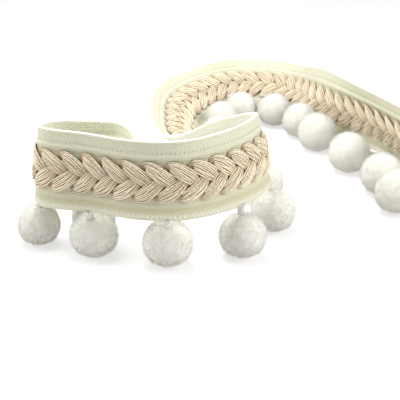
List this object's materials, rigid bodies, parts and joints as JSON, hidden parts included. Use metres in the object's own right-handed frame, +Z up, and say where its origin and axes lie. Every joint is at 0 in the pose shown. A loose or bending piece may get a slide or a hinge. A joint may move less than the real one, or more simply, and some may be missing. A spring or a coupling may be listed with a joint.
{
  "type": "pompom fringe trim",
  "caption": "Pompom fringe trim lying on edge in loose bends: a narrow woven tape with a flat plaited braid along its middle and round cut-pile pompoms tied to its lower edge.",
  "frame": {"origin": "middle of the bounding box's bottom face, on the floor the trim lies on", "axes": "+Z up; -Y towards the viewer, where the run that stands on its pompoms is; +X to the viewer's right, towards the far run's cut end"},
  "size_m": [0.1374, 0.1662, 0.0398],
  "materials": {
    "ivory_tape": "matte ribbed woven cotton tape, off-white with an ivory back",
    "beige_braid": "matte plaited yarn, beige to cream",
    "white_pile": "soft matte cut pile, white"
  },
  "bodies": {
    "root": {"tape": "ivory_tape", "braid": "beige_braid", "pompom_01": "white_pile", "pompom_02": "white_pile", "pompom_03": "white_pile", "pompom_04": "white_pile", "pompom_05": "white_pile", "pompom_06": "white_pile", "pompom_07": "white_pile", "pompom_08": "white_pile", "pompom_09": "white_pile", "pompom_10": "white_pile", "pompom_11": "white_pile", "pompom_12": "white_pile", "pompom_13": "white_pile", "pompom_14": "white_pile", "pompom_15": "white_pile", "pompom_16": "white_pile", "pompom_17": "white_pile"}
  },
  "joints": []
}
